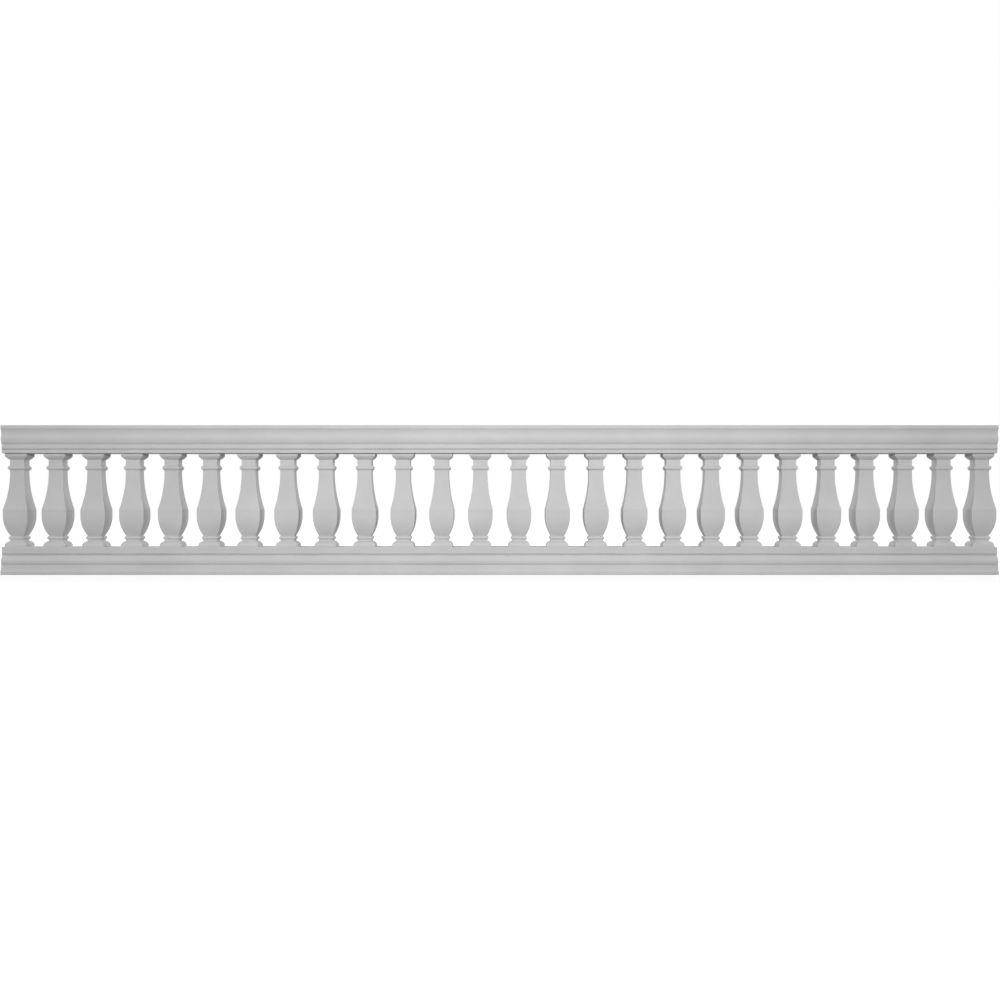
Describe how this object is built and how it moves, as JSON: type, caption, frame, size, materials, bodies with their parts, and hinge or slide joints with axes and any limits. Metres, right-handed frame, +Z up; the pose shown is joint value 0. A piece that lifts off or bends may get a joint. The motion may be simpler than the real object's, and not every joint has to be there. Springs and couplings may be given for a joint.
{
  "type": "fiberglass balustrade",
  "caption": "Straight balustrade run: moulded hollow top and bottom rails joined by square bottle balusters on steel pipes.",
  "frame": {"origin": "centre of the underside of the bottom rail, on the floor", "axes": "+X along the run, front towards -Y, +Z up"},
  "size_m": [6.096, 0.215, 0.9144],
  "materials": {
    "fiberglass": "primed gelcoat, matte to satin",
    "galvanized_pipe": "galvanized"
  },
  "bodies": {
    "root": {"bottom_rail": "fiberglass", "baluster_01": "fiberglass", "baluster_02": "fiberglass", "baluster_03": "fiberglass", "baluster_04": "fiberglass", "baluster_05": "fiberglass", "baluster_06": "fiberglass", "baluster_07": "fiberglass", "baluster_08": "fiberglass", "baluster_09": "fiberglass", "baluster_10": "fiberglass", "baluster_11": "fiberglass", "baluster_12": "fiberglass", "baluster_13": "fiberglass", "baluster_14": "fiberglass", "baluster_15": "fiberglass", "baluster_16": "fiberglass", "baluster_17": "fiberglass", "baluster_18": "fiberglass", "baluster_19": "fiberglass", "baluster_20": "fiberglass", "baluster_21": "fiberglass", "baluster_22": "fiberglass", "baluster_23": "fiberglass", "baluster_24": "fiberglass", "baluster_25": "fiberglass", "baluster_26": "fiberglass", "pipes": "galvanized_pipe", "top_rail": "fiberglass"}
  },
  "joints": []
}
